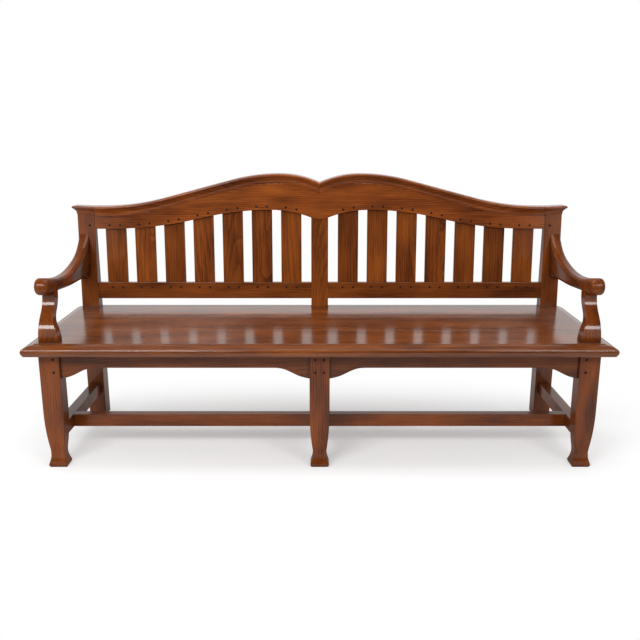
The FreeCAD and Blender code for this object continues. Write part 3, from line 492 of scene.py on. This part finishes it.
def seenDirectly(tree, ray):  # 1 where the camera looks, also through something clear
    return combine(tree, "MAXIMUM", ray["Is Camera Ray"], ray["Is Transmission Ray"])


# Floor: plain white paper. Near the bench it is lit paper with a little glow, so that it keeps
# the shadow; from the far radius on the camera sees pure white. The squash makes the near patch
# long beside the bench and short before it. Towards the camera the paper ends in a dark floor,
# which only light and reflections meet.
floorLook = {
    "size": 60.0, "colour": "#e9e9e9", "lift": 0.33,
    "squash": (0.6, 1.7, 0.0), "nearRadius": 0.35, "farRadius": 1.3,
    "paperEnds": (-1.3, -2.0), "roomFloor": "#2a2724",
}


def paperFloor(look):
    mesh = bpy.data.meshes.new("paperFloor")
    half = look["size"] / 2
    mesh.from_pydata([(-half, -half, 0), (half, -half, 0), (half, half, 0), (-half, half, 0)],
                     [], [(0, 1, 2, 3)])
    floor = bpy.data.objects.new("paperFloor", mesh)
    bpy.context.scene.collection.objects.link(floor)
    material, tree = emptyMaterial("whitePaper")
    place = addNode(tree, "ShaderNodeTexCoord").outputs["Object"]
    flat = addNode(tree, "ShaderNodeVectorMath", {"operation": "MULTIPLY", 1: look["squash"]},
                   {0: place})
    away = addNode(tree, "ShaderNodeVectorMath", {"operation": "LENGTH"},
                   {0: flat.outputs["Vector"]}).outputs["Value"]
    far = remap(tree, away, look["nearRadius"], look["farRadius"],
                interpolation_type="SMOOTHSTEP")
    ray = addNode(tree, "ShaderNodeLightPath").outputs
    sides = addNode(tree, "ShaderNodeSeparateXYZ", {}, {"Vector": place})
    beyond = remap(tree, sides.outputs["Y"], *look["paperEnds"])
    notSeen = combine(tree, "SUBTRACT", 1.0, ray["Is Camera Ray"])
    dark = combine(tree, "MULTIPLY", beyond, notSeen)
    tone = between(tree, toLinear(look["colour"]), toLinear(look["roomFloor"]), dark)
    paper = addNode(tree, "ShaderNodeBsdfDiffuse", {}, {"Color": tone})
    seen = seenDirectly(tree, ray)
    lift = combine(tree, "MULTIPLY", seen, look["lift"])
    glow = addNode(tree, "ShaderNodeEmission", {}, {"Strength": lift})
    near = addNode(tree, "ShaderNodeAddShader", {}, {0: paper.outputs[0], 1: glow.outputs[0]})
    white = addNode(tree, "ShaderNodeEmission", {"Strength": 1.0})
    whiteShare = combine(tree, "MULTIPLY", far, seen)
    whole = addNode(tree, "ShaderNodeMixShader", {},
                    {0: whiteShare, 1: near.outputs[0], 2: white.outputs[0]})
    addNode(tree, "ShaderNodeOutputMaterial", {}, {"Surface": whole.outputs[0]})
    mesh.materials.append(material)


paperFloor(floorLook)

# Studio: in reflections, white paper stands behind the bench and dims towards the ceiling, and
# the room behind the camera is dark. The camera itself sees white all round. Two soft boxes hang
# in front, one above, and a weak panel stands on each side of the camera.
roomLight = {
    "fill": 0.48, "behindCamera": 0.02, "paperStarts": (-0.15, 0.25),
    "paperTop": (0.50, 0.80), "ceiling": 0.25,
}
softBoxes = {
    "keyBox": {"at": (-1.3, -2.4, 2.05), "aim": (-0.2, 0.0, 0.45), "size": (1.4, 0.5),
               "power": 38.0},
    "topBox": {"at": (0.0, -0.15, 2.8), "aim": (0.0, -0.25, 0.4), "size": (2.8, 1.2),
               "power": 36.0},
    "rightBox": {"at": (1.6, -2.4, 2.05), "aim": (0.4, 0.0, 0.45), "size": (0.8, 0.5),
                 "power": 15.0},
    "leftPanel": {"at": (-2.4, -3.0, 1.4), "aim": (-0.9, 0.2, 0.8), "size": (1.4, 1.6),
                  "power": 6.0},
    "rightPanel": {"at": (2.4, -3.0, 1.4), "aim": (0.9, 0.2, 0.8), "size": (1.4, 1.6),
                   "power": 6.0},
}


def studioRoom(look):
    world = bpy.data.worlds.new("studioRoom")
    bpy.context.scene.world = world
    world.use_nodes = True
    tree = world.node_tree
    tree.nodes.clear()
    way = addNode(tree, "ShaderNodeTexCoord").outputs["Generated"]
    axes = addNode(tree, "ShaderNodeSeparateXYZ", {}, {"Vector": way}).outputs
    behind = remap(tree, axes["Y"], *look["paperStarts"], low=look["behindCamera"])
    above = remap(tree, axes["Z"], *look["paperTop"], 1.0, look["ceiling"])
    seenInGloss = combine(tree, "MULTIPLY", behind, above)
    ray = addNode(tree, "ShaderNodeLightPath").outputs
    soft = addNode(tree, "ShaderNodeMix", {2: look["fill"]},
                   {0: ray["Is Glossy Ray"], 3: seenInGloss})
    level = addNode(tree, "ShaderNodeMix", {3: 1.0},
                    {0: seenDirectly(tree, ray), 2: soft.outputs[0]})
    paper = addNode(tree, "ShaderNodeBackground", {"Color": (1, 1, 1, 1)},
                    {"Strength": level.outputs[0]})
    addNode(tree, "ShaderNodeOutputWorld", {}, {"Surface": paper.outputs[0]})
    world.cycles.sampling_method = "NONE"


def hangSoftBox(name, look):
    lamp = bpy.data.lights.new(name, "AREA")
    lamp.shape = "RECTANGLE"
    lamp.size, lamp.size_y = look["size"]
    lamp.energy = look["power"]
    box = bpy.data.objects.new(name, lamp)
    bpy.context.scene.collection.objects.link(box)
    box.location = look["at"]
    facing = Vector(look["aim"]) - Vector(look["at"])
    box.rotation_euler = facing.to_track_quat("-Z", "Y").to_euler()
    box.visible_camera = False


studioRoom(roomLight)
for name, look in softBoxes.items():
    hangSoftBox(name, look)
print("studio: floor, room and", len(softBoxes), "soft boxes")

# Camera: a standing photographer, a little above the back of the bench, level in roll
cameraSetup = {"at": (0.0013, -2.6935, 1.146), "pitchDown": 14.3,
               "focalPixels": 760.0, "picturePixels": 640.0, "sensorMm": 36.0}
camera = bpy.data.objects.new("camera", bpy.data.cameras.new("camera"))
bpy.context.scene.collection.objects.link(camera)
camera.location = cameraSetup["at"]
camera.rotation_euler = Euler((math.radians(90 - cameraSetup["pitchDown"]), 0, 0))
camera.data.sensor_width = cameraSetup["sensorMm"]
camera.data.lens = (cameraSetup["sensorMm"] * cameraSetup["focalPixels"]
                    / cameraSetup["picturePixels"])
bpy.context.scene.camera = camera
bpy.context.scene.view_settings.view_transform = "Standard"
print("camera: lens", round(camera.data.lens, 2), "mm")
